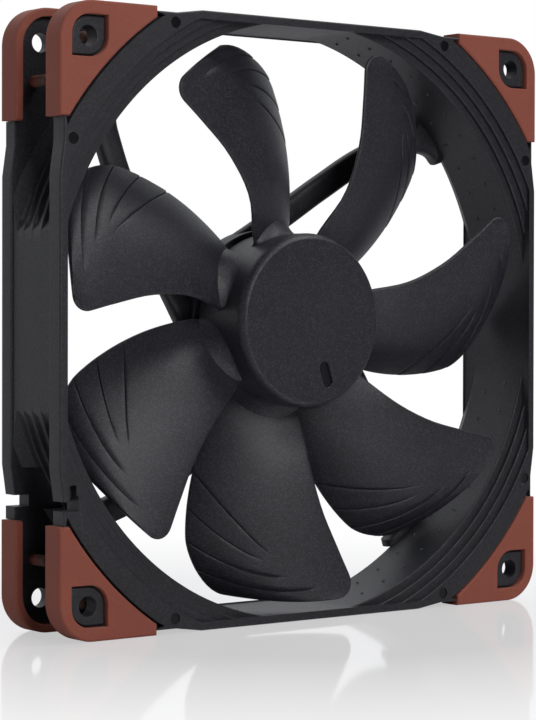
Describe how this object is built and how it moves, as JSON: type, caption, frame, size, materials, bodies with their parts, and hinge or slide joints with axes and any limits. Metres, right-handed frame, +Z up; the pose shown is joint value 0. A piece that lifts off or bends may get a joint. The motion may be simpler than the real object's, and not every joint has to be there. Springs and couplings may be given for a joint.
{
  "type": "case fan",
  "caption": "Square axial case fan with a swept-blade impeller on a sleeve bearing, struts behind it and silicone pads on the corners.",
  "frame": {"origin": "on the rotor's axis, half way between the inlet and outlet faces", "axes": "+X to the right seen from the inlet, +Y from the inlet to the outlet along the rotor's axis, +Z up"},
  "size_m": [0.14, 0.025, 0.14],
  "materials": {
    "frame_plastic": "fine matte moulded glass-filled plastic",
    "impeller_plastic": "fine matte moulded liquid-crystal plastic",
    "pad_silicone": "matte red-brown silicone",
    "shaft_steel": "ground steel",
    "yoke_steel": "drawn zinc-plated steel",
    "magnet": "bonded ferrite",
    "brass": "turned brass",
    "sintered_bronze": "oil-soaked sintered bronze",
    "core_steel": "stamped laminations",
    "nylon": "natural nylon",
    "copper_wire": "enamelled copper winding",
    "circuit_board": "solder mask over glass-epoxy board",
    "chip_plastic": "epoxy package",
    "ceramic": "chip capacitor ceramic with tinned ends",
    "label_film": "plain polyester label without print"
  },
  "bodies": {
    "housing": {"frame": "frame_plastic", "bearing_shell": "brass", "bearing_sleeve": "sintered_bronze", "oil_seal": "nylon", "stabiliser_magnet": "magnet", "thrust_plate": "nylon", "stator_core": "core_steel", "insulator_front": "nylon", "insulator_rear": "nylon", "coil_1": "copper_wire", "coil_2": "copper_wire", "coil_3": "copper_wire", "coil_4": "copper_wire", "circuit_board": "circuit_board", "driver_chip": "chip_plastic", "hall_sensor": "chip_plastic", "capacitor_1": "ceramic", "capacitor_2": "ceramic", "rear_label": "label_film", "inlet_pad_top_left": "pad_silicone", "inlet_pad_top_right": "pad_silicone", "inlet_pad_bottom_left": "pad_silicone", "inlet_pad_bottom_right": "pad_silicone", "outlet_pad_top_left": "pad_silicone", "outlet_pad_top_right": "pad_silicone", "outlet_pad_bottom_left": "pad_silicone", "outlet_pad_bottom_right": "pad_silicone"},
    "rotor": {"impeller": "impeller_plastic", "rotor_yoke": "yoke_steel", "ring_magnet": "magnet", "shaft": "shaft_steel", "retaining_clip": "nylon"}
  },
  "joints": [
    {"name": "rotor_spin", "type": "hinge", "parent": "housing", "child": "rotor", "pos_m": [0, 0, 0], "axis": [0, -1, 0], "continuous": true}
  ]
}
